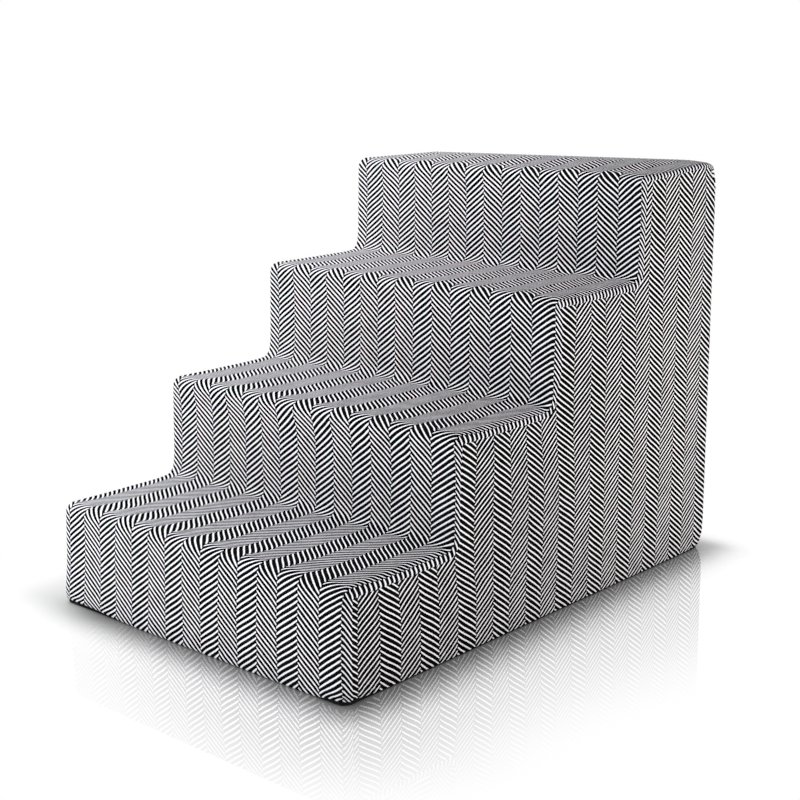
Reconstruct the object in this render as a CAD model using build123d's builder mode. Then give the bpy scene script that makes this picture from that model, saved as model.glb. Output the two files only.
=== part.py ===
from build123d import *
import os

os.makedirs("parts", exist_ok=True)

# Pet stairs of glued foam slabs in a zipped cloth cover.
# Millimetres. X runs from side to side, the steps climb towards +Y, Z is up.
# The origin is on the floor, under the middle of the stairs.

# Driving sizes of the stairs
step_count = 4
rise = 114.0  # height of one step
tread = 156.0  # depth of one step
width = 424.0  # side to side
height = step_count * rise
depth = step_count * tread

# Cover and its soft edges
cloth = 1.4  # thickness of the woven cloth
foam_gap = 0.3  # between the cover and the foam
edge_radius = 7.0  # edges along both sides
seam_setback = 0.5  # from the end of that round to the side seam
seam_nose_radius = 1.5  # round of the side seam at each nose
corner_radius = 13.0  # inner corners, where the cover bridges the foam
bottom_radius = 4.5  # edge round the base
base_rim = 0.9  # turned-up rim of the base cloth, above its own thickness
top_turn = 7.0  # flat part of the stair panel on the back, below the top round
seam_inset = edge_radius + seam_setback
nose_radius = seam_inset + seam_nose_radius
base_wrap = cloth + base_rim
top_wrap = nose_radius + top_turn

# Zip along the back
zip_height = 40.0  # middle of the zip above the floor
zip_clearance = 1.4  # from the slider to the cloth edge on each side
end_tab_length = 20.0  # cloth tab at each end, from the side seam
tape_sewn = 9.6  # part of each tape behind the cloth
tape_thickness = 0.6
tape_slit = 1.2  # between the two tapes, under the coils
coil_thickness = 2.0
coil_rail = 2.0  # solid part of each coil row
coil_mesh = 2.1  # reach of the teeth from the rail
tooth_pitch = 2.5
tooth_side_gap = 0.2  # between the teeth of the two rows
tooth_tip_gap = 0.3  # from a tooth tip to the other rail
tooth_width = tooth_pitch / 2 - tooth_side_gap
stop_length = 2.5
stop_thickness = 2.4
stop_width = 3.0
stop_margin = 1.0  # from the stops to the end tabs

# Slider and pull tab
run_gap = 0.3  # running clearance all round the slider
slider_length = 11.0
plate_thickness = 1.2
flange = 1.1
plate_corner = 1.6
wedge_length = 4.4
wedge_width = 2.6
wedge_setback = 0.6  # from the front end of the plates
neck_width = 0.6  # thin part of the wedge, between the tapes
pin_radius = 0.8  # cross bar of the pull tab, held under the bail
bail_wall = 0.9
bail_width = 2.4
tab_length = 26.0
tab_arm = 1.7  # plate on each side of the eye
tab_thickness = 1.4
tab_corner = 2.4
tab_slot_length = 9.0
tab_slot_width = 2.4
tab_slot_margin = 2.2  # from the free end of the tab to its slot

# Levels through the back, from the foam outwards
back = depth / 2
tape_front = back - cloth
tape_back = tape_front - tape_thickness
coil_front = tape_front + coil_thickness
lower_plate_top = tape_back - run_gap
lower_plate_bottom = lower_plate_top - plate_thickness
upper_plate_bottom = coil_front + run_gap
upper_plate_top = upper_plate_bottom + plate_thickness
pin_level = upper_plate_top + run_gap + pin_radius
bail_inner = pin_radius + run_gap
bail_outer = bail_inner + bail_wall
eye_end = bail_outer + 2 * run_gap
eye_width = bail_width + 2 * run_gap
tab_width = eye_width + 2 * tab_arm

# Half widths about the middle line of the zip
rail_near = (coil_mesh + tooth_tip_gap) / 2
chain_half = rail_near + coil_rail
channel_half = chain_half + run_gap
plate_half = channel_half + flange
zip_gap = 2 * (plate_half + zip_clearance)
tape_width = (zip_gap - tape_slit) / 2 + tape_sewn
slot_low = zip_height - zip_gap / 2
slot_high = zip_height + zip_gap / 2

# Places along the zip
zip_reach = width / 2 - seam_inset - end_tab_length
tape_reach = zip_reach + end_tab_length - edge_radius
stop_end = zip_reach - stop_margin
slider_front = stop_end - stop_length - run_gap
slider_x = slider_front - slider_length / 2
wedge_front = slider_front - wedge_setback
wedge_x = wedge_front - wedge_length / 2
chain_start = stop_length - stop_end
chain_end = wedge_front - wedge_length - run_gap
chain_length = chain_end - chain_start
chain_x = (chain_start + chain_end) / 2
travel = slider_x - slider_length / 2 - run_gap - chain_start

# Channel in the foam for the tapes, with a deeper groove for the slider
channel_height = 2 * (tape_width + foam_gap) + tape_slit
channel_floor = tape_back - foam_gap
groove_height = 2 * (plate_half + foam_gap)
groove_floor = lower_plate_bottom - foam_gap

overrun = 10.0  # how far a cutting tool passes the cloth


def near_any(vertex, places):
    """Whether a corner of an outline lies at one of the places."""
    return min((vertex.center() - Vector(*place)).length for place in places) < cloth


def stair_face(inset, floor):
    """Side outline of the stairs, moved in by inset, with round noses and inner corners."""
    corners = [(inset - depth / 2, floor)]
    for step in range(step_count):
        front = step * tread + inset - depth / 2
        top = (step + 1) * rise - inset
        corners += [(front, top), (front + tread, top)]
    corners[-1] = (depth / 2 - inset, height - inset)
    corners.append((depth / 2 - inset, floor))
    noses = corners[1:-1:2] + [corners[-2]]
    hollows = corners[2:-2:2]
    with BuildSketch() as outline:
        with BuildLine():
            Polyline(*corners, close=True)
        make_face()
        for places, radius in ((noses, nose_radius - inset), (hollows, corner_radius + inset)):
            fillet([v for v in outline.vertices() if near_any(v, places)], radius)
    return outline.sketch


def stair_solid(inset, floor):
    """Rounded stair body whose faces lie inset inside the outside of the cover."""
    face = stair_face(inset, floor)
    with BuildPart() as body:
        with BuildSketch(Plane.YZ):
            add(face)
        extrude(amount=width / 2 - inset, both=True)
        side_edges = body.faces().filter_by(Axis.X).edges()
        fillet([e for e in side_edges if e.center().Z > floor + cloth], edge_radius - inset)
        foot = body.faces().sort_by(Axis.Z)[0]
        fillet(foot.edges(), bottom_radius - inset)
    return body.part


def back_plane(level, middle=0):
    """Plane over the zip, parallel to the back: local X is X, local Y is up, and
    a positive extrusion runs from the level towards the foam."""
    return Plane(origin=(middle, level, zip_height), x_dir=(1, 0, 0), z_dir=(0, -1, 0))


def save(builder, name):
    """Label a finished piece and write its file."""
    builder.part.label = name
    export_step(builder.part, f"parts/{name}.step")


# Bodies that the pieces are cut from
cover_outside = stair_solid(0, 0)
cover_inside = stair_solid(cloth, cloth)
foam_outside = stair_solid(cloth + foam_gap, cloth)
seam_face = stair_face(seam_inset, base_wrap)

# Cloth of the cover above the base seam
with BuildPart() as upper_cover:
    add(cover_outside)
    add(cover_inside, mode=Mode.SUBTRACT)
    split(bisect_by=Plane.XY.offset(base_wrap), keep=Keep.TOP)

# Black base cloth, turned up a little all round
with BuildPart() as base_panel:
    add(cover_outside)
    add(cover_inside, mode=Mode.SUBTRACT)
    split(bisect_by=Plane.XY.offset(base_wrap), keep=Keep.BOTTOM)
save(base_panel, "base_panel")

# Stair-shaped sides, inside the seams
with BuildPart() as right_side_panel:
    add(upper_cover.part)
    with BuildSketch(Plane.YZ.offset(width / 2 - edge_radius)):
        add(seam_face)
    extrude(amount=edge_radius + overrun, mode=Mode.INTERSECT)
save(right_side_panel, "right_side_panel")

with BuildPart() as left_side_panel:
    mirror(right_side_panel.part, about=Plane.YZ)
save(left_side_panel, "left_side_panel")

# The long way round the stairs, between the side seams: front, treads, top and back
with BuildPart() as centre_ring:
    add(upper_cover.part)
    add(right_side_panel.part, mode=Mode.SUBTRACT)
    add(left_side_panel.part, mode=Mode.SUBTRACT)


def back_cloth(low, high):
    """Cloth of the ring behind the back side seams, from one height to another."""
    with BuildPart() as panel:
        add(centre_ring.part)
        with BuildSketch(Plane.XY.offset(low)):
            with Locations((0, back)):
                Rectangle(width + overrun, 2 * seam_inset)
        extrude(amount=high - low, mode=Mode.INTERSECT)
    return panel


# Back of the cover, above and below the zip
save(back_cloth(slot_high, height - top_wrap), "back_panel")
save(back_cloth(base_wrap, slot_low), "back_strip")

# Tabs of cover cloth that close the slot at both ends of the zip
slot_cloth = back_cloth(slot_low, slot_high).part
with BuildPart() as zipper_end_tab_right:
    add(slot_cloth)
    split(bisect_by=Plane.YZ.offset(zip_reach), keep=Keep.TOP)
save(zipper_end_tab_right, "zipper_end_tab_right")

with BuildPart() as zipper_end_tab_left:
    mirror(zipper_end_tab_right.part, about=Plane.YZ)
save(zipper_end_tab_left, "zipper_end_tab_left")

# Centre strip over risers and treads
whole_back = back_cloth(base_wrap, height - top_wrap).part
with BuildPart() as stair_panel:
    add(centre_ring.part)
    add(whole_back, mode=Mode.SUBTRACT)
save(stair_panel, "stair_panel")

# Foam slabs, glued one on top of the other
for step in range(step_count):
    low = step * rise - cloth - foam_gap if step else cloth
    high = (step + 1) * rise - cloth - foam_gap
    front = step * tread + cloth + foam_gap - depth / 2
    with BuildPart() as foam_slab:
        add(foam_outside)
        with BuildSketch(Plane.YZ):
            with Locations((front, low)):
                Rectangle(depth, high - low, align=(Align.MIN, Align.MIN))
        extrude(amount=width, both=True, mode=Mode.INTERSECT)
        if step == 0:
            for floor_level, slot in ((channel_floor, channel_height), (groove_floor, groove_height)):
                with BuildSketch(back_plane(back)):
                    Rectangle(width + overrun, slot)
                extrude(amount=back - floor_level, mode=Mode.SUBTRACT)
    save(foam_slab, f"foam_slab_{step + 1}")

# Zip tapes, sewn behind the cloth edges
with BuildPart() as zipper_tape_upper:
    with BuildSketch(back_plane(tape_front)):
        with Locations((0, (tape_slit + tape_width) / 2)):
            Rectangle(2 * tape_reach, tape_width)
    extrude(amount=tape_thickness)
save(zipper_tape_upper, "zipper_tape_upper")

with BuildPart() as zipper_tape_lower:
    mirror(zipper_tape_upper.part, about=Plane.XY.offset(zip_height))
save(zipper_tape_lower, "zipper_tape_lower")


def coil_row(side, shift):
    """One row of coil teeth on its rail; side is 1 above the middle line and -1 below."""
    count = int((chain_length - shift - tooth_width) // tooth_pitch) + 1
    first = chain_start + shift + tooth_width / 2
    tooth_x = first + (count - 1) * tooth_pitch / 2
    with BuildPart() as row:
        with BuildSketch(back_plane(coil_front)):
            with Locations((chain_x, side * (rail_near + coil_rail / 2))):
                Rectangle(chain_length, coil_rail)
            with Locations((tooth_x, side * (rail_near - coil_mesh / 2))):
                with GridLocations(tooth_pitch, 0, count, 1):
                    Rectangle(tooth_width, coil_mesh)
        extrude(amount=coil_thickness)
    return row


save(coil_row(1, 0), "zipper_coil_upper")
save(coil_row(-1, tooth_pitch / 2), "zipper_coil_lower")

# Stops crimped on the tapes at the ends of the coils
with BuildPart() as zipper_top_stops:
    with BuildSketch(back_plane(tape_front + stop_thickness, stop_end - stop_length / 2)):
        for side in (1, -1):
            with Locations((0, side * (tape_slit + stop_width) / 2)):
                Rectangle(stop_length, stop_width)
    extrude(amount=stop_thickness)
save(zipper_top_stops, "zipper_top_stops")

with BuildPart() as zipper_bottom_stop:
    with BuildSketch(back_plane(tape_front + stop_thickness, stop_length / 2 - stop_end)):
        Rectangle(stop_length, 2 * chain_half)
    extrude(amount=stop_thickness)
save(zipper_bottom_stop, "zipper_bottom_stop")

# Slider: two plates joined by the wedge, side flanges, and the bail for the tab
with BuildPart() as slider_body:
    for level in (upper_plate_top, lower_plate_top):
        with BuildSketch(back_plane(level, slider_x)):
            RectangleRounded(slider_length, 2 * plate_half, plate_corner)
        extrude(amount=plate_thickness)
    with BuildSketch(back_plane(upper_plate_bottom, slider_x)):
        for side in (1, -1):
            with Locations((0, side * (plate_half - flange / 2))):
                Rectangle(slider_length - 2 * plate_corner, flange)
    extrude(amount=upper_plate_bottom - tape_front - run_gap)
    with BuildSketch(back_plane(upper_plate_bottom, wedge_x)):
        Rectangle(wedge_length, wedge_width)
    extrude(amount=upper_plate_bottom - tape_front - run_gap)
    with BuildSketch(back_plane(upper_plate_bottom, wedge_x)):
        Rectangle(wedge_length, neck_width)
    extrude(amount=upper_plate_bottom - lower_plate_top)
    with BuildSketch(Plane(origin=(slider_x, pin_level, zip_height), x_dir=(1, 0, 0), z_dir=(0, 0, 1))):
        for mode, radius in ((Mode.ADD, bail_outer), (Mode.SUBTRACT, bail_inner)):
            Circle(radius, mode=mode)
            Rectangle(2 * radius, pin_level - upper_plate_top, align=(Align.CENTER, Align.MAX), mode=mode)
    extrude(amount=bail_width / 2, both=True)
save(slider_body, "slider_body")

# Pull tab: a plate with a cross bar that turns under the bail
with BuildPart() as pull_tab:
    with BuildSketch(back_plane(pin_level + tab_thickness / 2, slider_x)):
        with Locations((-tab_length / 2, 0)):
            RectangleRounded(tab_length, tab_width, tab_corner)
        with Locations((-tab_corner / 2, 0)):
            Rectangle(tab_corner, tab_width)
        with Locations((-(pin_radius + eye_end) / 2, 0)):
            Rectangle(eye_end - pin_radius, eye_width, mode=Mode.SUBTRACT)
        with Locations((tab_slot_margin + tab_slot_length / 2 - tab_length, 0)):
            SlotOverall(tab_slot_length, tab_slot_width, mode=Mode.SUBTRACT)
    extrude(amount=tab_thickness)
    with BuildSketch(Plane(origin=(slider_x, pin_level, zip_height), x_dir=(1, 0, 0), z_dir=(0, 0, 1))):
        Circle(pin_radius)
    extrude(amount=tab_width / 2, both=True)
save(pull_tab, "pull_tab")

print(f"slider_x {slider_x:.3f}  travel {travel:.3f}  pin_level {pin_level:.3f}")
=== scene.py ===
import math

import bpy
import numpy as np
from mathutils import Euler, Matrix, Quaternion, Vector
from mathutils.geometry import delaunay_2d_cdt


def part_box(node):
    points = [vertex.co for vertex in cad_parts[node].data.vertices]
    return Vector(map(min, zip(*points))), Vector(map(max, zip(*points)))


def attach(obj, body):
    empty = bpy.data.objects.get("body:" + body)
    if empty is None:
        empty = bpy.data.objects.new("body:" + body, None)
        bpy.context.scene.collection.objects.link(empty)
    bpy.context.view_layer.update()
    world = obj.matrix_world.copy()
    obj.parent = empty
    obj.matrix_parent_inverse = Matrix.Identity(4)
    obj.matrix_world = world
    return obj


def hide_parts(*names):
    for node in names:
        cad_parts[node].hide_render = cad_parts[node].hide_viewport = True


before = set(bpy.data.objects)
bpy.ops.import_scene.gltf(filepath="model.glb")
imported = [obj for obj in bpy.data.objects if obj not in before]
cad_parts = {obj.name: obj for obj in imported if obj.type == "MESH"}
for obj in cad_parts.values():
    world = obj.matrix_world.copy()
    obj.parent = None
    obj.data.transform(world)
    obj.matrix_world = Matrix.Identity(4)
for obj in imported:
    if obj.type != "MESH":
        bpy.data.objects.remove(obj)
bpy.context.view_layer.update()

# Pet stairs of glued foam slabs in a zipped herringbone cover.
# Metres. X runs from side to side, the steps climb towards +Y, Z is up.
mm = 0.001
quarter_turn = math.pi / 2
eighth_turn = math.pi / 4
tiny = 1e-9

# Sizes of the stairs, from the frame
panel_low, panel_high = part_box("stair_panel")
half_width = panel_high.x
front = panel_low.y
back = panel_high.y
height = panel_high.z
step_count = sum(name.startswith("foam_slab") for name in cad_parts)
slabs = [f"foam_slab_{step + 1}" for step in range(step_count)]
rise = height / step_count
tread = (back - front) / step_count
top_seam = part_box("back_panel")[1].z
zip_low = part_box("back_strip")[1].z
zip_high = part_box("back_panel")[0].z
zip_height = (zip_low + zip_high) / 2

# Soft edges of the cover
edge_radius = 8 * mm
seam_setback = 1.5 * mm
seam_inset = edge_radius + seam_setback
nose_radius = 10.5 * mm
top_nose_radius = 13 * mm
hollow_radius = 9.5 * mm
least_radius = 0.3 * mm
ease_start = 2 * mm
cloth = 1.1 * mm
grid = 3.5 * mm
coarse_grid = 4 * grid
arc_grid = 1.8 * mm

# How a panel dives into a seam: distance from the seam, and depth below the surface
seam_rows = ((0, 1.6 * mm), (0.35 * mm, 0.7 * mm), (0.9 * mm, 0.15 * mm), (2.0 * mm, 0))
zip_rows = ((0, 1.2 * mm), (0.2 * mm, 0.75 * mm), (0.6 * mm, 0.25 * mm), (1.3 * mm, 0))

# Swell of the foam and slackness of the cloth
crown_riser = 1.2 * mm
crown_tread = 0.3 * mm
crown_top = 5.0 * mm
crown_side = 2.0 * mm
crown_fade = 45 * mm
slack = 0.35 * mm
slack_length = 95 * mm
slack_fade = 15 * mm

# Random folds and ripples: how many waves add up, how their lengths differ, and the seeds
wave_count = 9
wave_lengths = (0.75, 1.6)
strip_seed, fold_seed, side_seed, tape_seed = 3, 5, 8, 17

# Foot of the cover, drawn in under the edge and rounder at the four corners
base_seam = 0.9 * mm
tuck_height = 8 * mm
tuck_depth = 1.5 * mm
foot_height = 18 * mm
foot_radius = 12 * mm
back_foot_height = 38 * mm
back_foot_radius = 22 * mm
foot_reach = 44 * mm
foot_skin = 4 * mm
pucker = 0.55 * mm
pucker_straight = 0.35
pucker_length = 17 * mm
pucker_height = 16 * mm
pucker_fade = 3 * mm

# Where the base cloth shows above the floor: place, reach across and along, and rise of its seam
base_rises = (
    (-0.212, -0.312, 0.088, 0.020, 3.8 * mm),
    (0.212, -0.312, 0.032, 0.028, 3.9 * mm),
    (0.212, 0.312, 0.020, 0.026, 3.0 * mm),
)
base_rise_height = 9 * mm

# Upright back corners, where the cover is sharper and its seam has slid round to the back
rear_radius = 5 * mm
rear_slide = 11 * mm
rear_fade = 30 * mm
rear_reach_side = 42 * mm
rear_reach_back = 25 * mm

# The riser whose right side seam lies further round, counted from 0, and how far it has slid
wrap_step = 2
wrap_slide = 6.5 * mm
wrap_start = 3 * mm
wrap_reach = 40 * mm
wrap_above, wrap_rise = 10 * mm, 25 * mm
wrap_below, wrap_fall = 4 * mm, 20 * mm

# How the soft stairs have settled: noses are softer at their ends, the hollows at the left are
# fuller, treads sag a little, risers lean, the top rises towards its right rear corner and is
# tight along its right seam, and the front foot spreads
nose_softness = (3.0 * mm, 2.0 * mm, 1.5 * mm, 1.0 * mm)
nose_reach = 14 * mm
nose_end = 32 * mm
left_share = 0.25
hollow_fill = 3.0 * mm
fill_reach = 16 * mm
fill_end = 70 * mm
corner_tight = (0.25, 0.55)
tight_reach = 60 * mm
tight_depth = 10 * mm
tread_sag = 1.1 * mm
sag_depth = 40 * mm
rear_lift = 6.4 * mm
rear_softness = 5.0 * mm
rear_reach = 22 * mm
lift_depth = 130 * mm
riser_lean = 3.5 * mm
lean_depth = 60 * mm
left_spread = 5.5 * mm
right_spread = 1.5 * mm
spread_height = 36 * mm
spread_depth = 230 * mm

# Bands of the herringbone: their width and the place of the first, on the lowest riser, the steps
# and the sides. Near the noses of the steps they are pulled towards those of the lowest riser
band = 28.1 * mm
front_band = 27.2 * mm
front_first_band = -200.4 * mm
front_bow = 3.5 * mm
step_band = 26.9 * mm
step_first_band = -192.3 * mm
step_start = 0.3 * nose_radius
nose_pull = (1.0, 0.9, 0.35, 0.4)
pull_reach = 24 * mm
back_shift = 9.0 * mm
side_first_band = -293.0 * mm
side_band = 28.0 * mm
side_shift = (
    (-0.312, -2.5 * mm),
    (-0.12, 0),
    (-0.03, -1.6 * mm),
    (0.01, -5.5 * mm),
    (0.05, -3.7 * mm),
    (0.312, -9.0 * mm),
)

# Yarn and stripes of the herringbone: noise scales are cells per metre, and shares are of white
warp_pitch, weft_pitch = 0.52 * mm, 0.42 * mm
stripe_pitch, stripe_rise = 6.35 * mm, 3.3
stripe_bend = 0.014
stripe_edge = 0.04
stripe_sway, sway_scale = 0.5, 14.0
band_drift, drift_scale = 7 * mm, 6.0
band_taper = (0.06, -0.1)
unevenness, uneven_scale = 0.18, 60.0
# Painted light and shade on surfaces that face up: more white at the left, less towards the right,
# fading in as the normal turns up
painted_light_white, painted_light_across = 0.02, -0.28
painted_light_normals = (0.3, 0.9)
yarn_levels = (0.74, 0.90, 0.0006, 0.0022)
fleck = (0.94, 0.99, 0.0, 0.03)

# Base cloth: rows are height above its seam, distance inward, share of the seam's rise
base_rows = (
    (0.25 * mm, 0.8 * mm, 1),
    (0, 0.35 * mm, 1),
    (-0.2 * mm, 0.2 * mm, 1),
    (-0.4 * mm, 0.2 * mm, 0.4),
    (-0.5 * mm, 0.5 * mm, 0),
    (-0.5 * mm, 8 * mm, 0),
)

# Non-slip dots: rows are shares of the radius and of the height
dot_height = 0.4 * mm
dot_radius = 1.8 * mm
dot_pitch = 12 * mm
dot_sides = 10
dot_rows = ((1.0, 1.0), (0.8, 0.35), (0.45, 0.08))

# Foam
foam_inset = 2.8 * mm
foam_join = 0.15 * mm
foam_gap = 0.3 * mm
foam_round = 10 * mm
foam_grid = 2.5 * mm

# Groove in the foam for the zip's slider: how far its floor and its outer line lie past the slider
groove_ends = (1.0 * mm, 1.5 * mm)
groove_sides = (0.5 * mm, 1.0 * mm)
groove_skin = 1 * mm

# Zip
zip_reach = 197.5 * mm
tooth_pitch = 2.5 * mm
coil_wire = 0.46 * mm
coil_sides = 14
coil_flatness = 0.7
coil_starts = {1: 0.75, -1: 1.25}
tape_grid = 2.5 * mm
tape_ripple = 0.1 * mm
ripple_length = 40 * mm
stitch_set = 1.6 * mm
coil_seam = 0.9 * mm
seam_stitch = (3.3 * mm, 2.7 * mm, 0.28 * mm, 0.3 * mm)
coil_stitch = (2.5 * mm, 1.6 * mm, 0.16 * mm, 0.35 * mm)
thread_taper = (0.7, 0.9, 1, 1, 1, 0.9, 0.7)
tube_sides = 6

# Camera at the photograph's viewing angle
camera_place = (1.13471, -1.25523, 0.59439)
camera_azimuth = 42.136
camera_elevation = 12.985
camera_roll = -0.42
camera_lens = 69.26
camera_sensor = 36.0

# Lamps: name, place, size, power and colour
lamps = (
    ("key_lamp", (-1.7, -2.2, 0.9), 1.4, 46, (0.97, 0.985, 1.0)),
    ("side_lamp", (2.4, 0.7, 0.9), 1.4, 32, (1.0, 0.995, 0.985)),
    ("top_lamp", (-1.1, -0.3, 2.3), 1.6, 35, (1.0, 1.0, 1.0)),
)
world_light = 0.62

# Floor: its painted shadow, the white beyond it, the mirror image and the painted shade on that image
# change between two places or distances, from one value to another, or from 0 to 1
floor_size = 12.0
left_stretch = (-half_width, 0.0, 0.5, 1.0)
back_stretch = (-0.1, 0.1, 1.0, 1.4)
shadow_ramp = (0.0, 0.08, 0.68, 0.0)
shadow_left = (-half_width - 0.03, -half_width + 0.07, 0.5, 1.0)
shadow_back = (back - 0.05, back + 0.03, 1.0, 0.35)
shadow_corner = (-0.1, 0.15, 1.12, 1.0)
bright_ramp = (0.0, 0.09)
# Painted shade on the mirror image: half as bright at the stairs, a little brighter than white beyond 5
# cm
mirror_shade_ramp = (0.0, 0.05)
mirror_stretch = (-0.25, 0.15, 1.0, 0.75)
mirror_ramp = (0.0, 0.22, 0.42, 0.0)
mirror_corner = (-0.27, 0.1)


def new_object(name, data):
    """A new object in the scene."""
    made = bpy.data.objects.new(name, data)
    bpy.context.scene.collection.objects.link(made)
    return made


def place_camera():
    """The camera of the photograph."""
    data = bpy.data.cameras.new("camera")
    data.sensor_width = camera_sensor
    data.lens = camera_lens
    data.clip_end = 50
    camera = new_object("camera", data)
    bpy.context.scene.camera = camera
    tilt = math.radians(90 - camera_elevation)
    turn = Euler((tilt, 0, math.radians(camera_azimuth))).to_quaternion()
    camera.rotation_mode = "QUATERNION"
    camera.rotation_quaternion = turn @ Quaternion((0, 0, 1), math.radians(camera_roll))
    camera.location = camera_place


# Shapes


def bell(distance, reach):
    """1 at no distance, falling to 0 over about twice the reach."""
    return np.exp(-((distance / reach) ** 2))


def fade(distance, length):
    """0 at no distance, rising to 1 over about the length."""
    return 1 - bell(np.maximum(distance, 0), length)


def smooth(share):
    """A share from 0 to 1, eased at both ends."""
    share = np.clip(share, 0, 1)
    return share**2 * (3 - 2 * share)


def waves(points, length, seed):
    """Smooth random heights of about -1 to 1, the same on every run."""
    random = np.random.default_rng(seed)
    total = np.zeros(len(points))
    for _ in range(wave_count):
        angle = random.uniform(0, 2 * math.pi)
        number = 2 * math.pi / (length * random.uniform(*wave_lengths))
        way = np.array([math.cos(angle), math.sin(angle)]) * number
        total += np.sin(points @ way + random.uniform(0, 2 * math.pi))
    return total / math.sqrt(wave_count)


def settle(points):
    """Points of the soft body after it has settled under its own weight and its tight seams."""
    x, y, z = points.T
    steps = np.arange(step_count)[:, None]
    past, below = y - front - steps * tread, (steps + 1) * rise - z
    climbed = (y - front) / tread + z / rise
    lean = np.abs(np.mod(climbed, 2) - 1) * (climbed < 2 * step_count - 1)
    lean = lean * bell(np.maximum(np.minimum(past, below).max(axis=0), 0), lean_depth)
    on_tread = np.clip(past / tread, 0, 1) * (steps < step_count - 1)
    sag = np.sin(math.pi * np.sqrt(on_tread)) * bell(below, sag_depth)
    soft = np.array(nose_softness)[:, None] * bell(np.hypot(past, below), nose_reach)
    soft = soft.sum(axis=0) * bell(half_width - np.abs(x), nose_end) * math.sqrt(0.5)
    soft = soft * np.where(x < 0, left_share, 1)
    fill = bell(np.hypot(past[1:], below[:-1]), fill_reach).sum(axis=0) * bell(x + half_width, fill_end)
    soft = soft - hollow_fill * math.sqrt(0.5) * fill
    to_right = np.clip(0.5 + x / (2 * half_width), 0, 1)
    rear = smooth(1 + (y - back) / tread) * to_right * bell(height - z, lift_depth)
    low = bell(z, spread_height) * bell(y - front, spread_depth)
    spread = np.where(x < 0, left_spread, right_spread) * low * x / half_width
    from_corner = np.linalg.norm(points - (half_width, back, height), axis=1)
    rear_soft = rear_softness * bell(from_corner, rear_reach) * math.sqrt(1 / 3)
    tight = np.interp((y - front) / tread, (step_count - 1, step_count), corner_tight)
    tight = tight * np.clip(1 + (x - half_width + edge_radius) / tight_reach, 0, 1) ** 2
    tight = tight * np.interp(height - z, (0, tight_depth, tight_reach), (0, tight_depth, 0))
    new_z = z - soft - tread_sag * sag.sum(axis=0) + rear_lift * rear - rear_soft + tight
    return np.column_stack([x + spread - rear_soft, y - riser_lean * lean + soft - rear_soft, new_z])


def tuck(z):
    """How far the cover is drawn in at a low height."""
    low = np.clip(1 - z / tuck_height, 0, 1)
    return tuck_depth * (1 - np.sqrt(1 - low**2))


def wrapped(points):
    """How far cloth near the right side seam of one riser has slid round onto the side."""
    x, y, z = points.T
    past = y - front - wrap_step * tread
    over = z - wrap_step * rise
    out = smooth((past - wrap_start) / (seam_inset - wrap_start))
    out = out * smooth(1 - (past - seam_inset) / wrap_reach)
    up = smooth((over - wrap_above) / wrap_rise) * smooth((rise - over - wrap_below) / wrap_fall)
    return wrap_slide * out * up * (x > 0)


def rear_share(y, z):
    """How sharp the upright back corners are at a height, from 0 to 1."""
    return (y > 0) * smooth(z / back_foot_height) * smooth((height - top_nose_radius - z) / rear_fade)


def corner_round(y, z):
    """Plan radius of the cover's upright corners at a height."""
    behind = y > 0
    low = np.clip(1 - z / np.where(behind, back_foot_height, foot_height), 0, 1)
    foot_part = (np.where(behind, back_foot_radius, foot_radius) - edge_radius) * low**2
    return edge_radius + foot_part - (edge_radius - rear_radius) * rear_share(y, z)


def corner_way(side, end):
    """Place along the cover's outline in plan, from the middle of the nearest corner to the side,
    and distance inside the outline."""
    turn_side, turn_end = edge_radius - side, edge_radius - end
    in_round = (turn_side > 0) & (turn_end > 0)
    inside = np.where(in_round, edge_radius - np.hypot(turn_side, turn_end), np.minimum(side, end))
    rest = (1 - eighth_turn) * edge_radius
    straight = np.where(side < end, end - rest, rest - side)
    turned = (np.arctan2(turn_side, turn_end) - eighth_turn) * edge_radius
    return np.where(in_round, turned, straight), inside


def slid(points):
    """How far cloth near the upright back corners has slid round them towards the back."""
    x, y, z = points.T
    way, _ = corner_way(half_width - np.abs(x), back - np.abs(y))
    reach = np.where(way > 0, rear_reach_side, rear_reach_back)
    return rear_slide * rear_share(y, z) * np.clip(1 - (way / reach) ** 2, 0, 1) ** 2


def base_rise(x, y):
    """How far the seam of the base cloth has pulled up at a place."""
    total = np.zeros(len(x))
    for place_x, place_y, across, along, height_there in base_rises:
        total += height_there * np.exp(-(((x - place_x) / across) ** 4) - ((y - place_y) / along) ** 2)
    return total


def foot(points):
    """Points of the cover, with its foot drawn in and its upright corners rounder below."""
    x, y, z = points.T
    side, end = half_width - np.abs(x), back - np.abs(y)
    radius = corner_round(y, z)
    way, inside = corner_way(side, end)
    reach = foot_reach - (1 - eighth_turn) * edge_radius
    near = np.abs(way) < reach
    shrink = (foot_reach - (1 - eighth_turn) * radius) / reach
    way = np.where(near, way * shrink, way) - slid(points)
    # The folds differ from side to side
    ring = np.column_stack([way + 3 * y + 2 * x, z + x])
    gather = bell(z, pucker_height) * np.where(near, 1, pucker_straight)
    fold = waves(ring, pucker_length, fold_seed) * gather * fade(z - base_seam, pucker_fade)
    inside = inside + tuck(z) + pucker * fold
    turned = near & (np.abs(way) < eighth_turn * radius)
    angle = eighth_turn + np.clip(way / radius, -eighth_turn, eighth_turn)
    along = np.abs(way) + (1 - eighth_turn) * radius
    on_side = way > 0
    far_side = np.where(on_side, inside, np.where(near, along, side))
    far_end = np.where(on_side, np.where(near, along, end), inside)
    new_side = np.where(turned, radius - (radius - inside) * np.sin(angle), far_side)
    new_end = np.where(turned, radius - (radius - inside) * np.cos(angle), far_end)
    limit = np.where(y > 0, height - top_nose_radius, foot_height)
    moved = (z < limit) & (np.minimum(side, end) < foot_skin)
    new_x = np.where(moved, np.sign(x) * (half_width - new_side), x)
    new_y = np.where(moved, np.sign(y) * (back - new_end), y) + wrapped(points)
    new_z = z + base_rise(x, y) * bell(z, base_rise_height)
    return settle(np.column_stack([new_x, new_y, new_z]))


def spaced(length, step):
    """Shares from 0 to 1 that divide a length into equal parts of about the step."""
    return np.linspace(0, 1, max(int(round(length / step)), 1) + 1)


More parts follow.
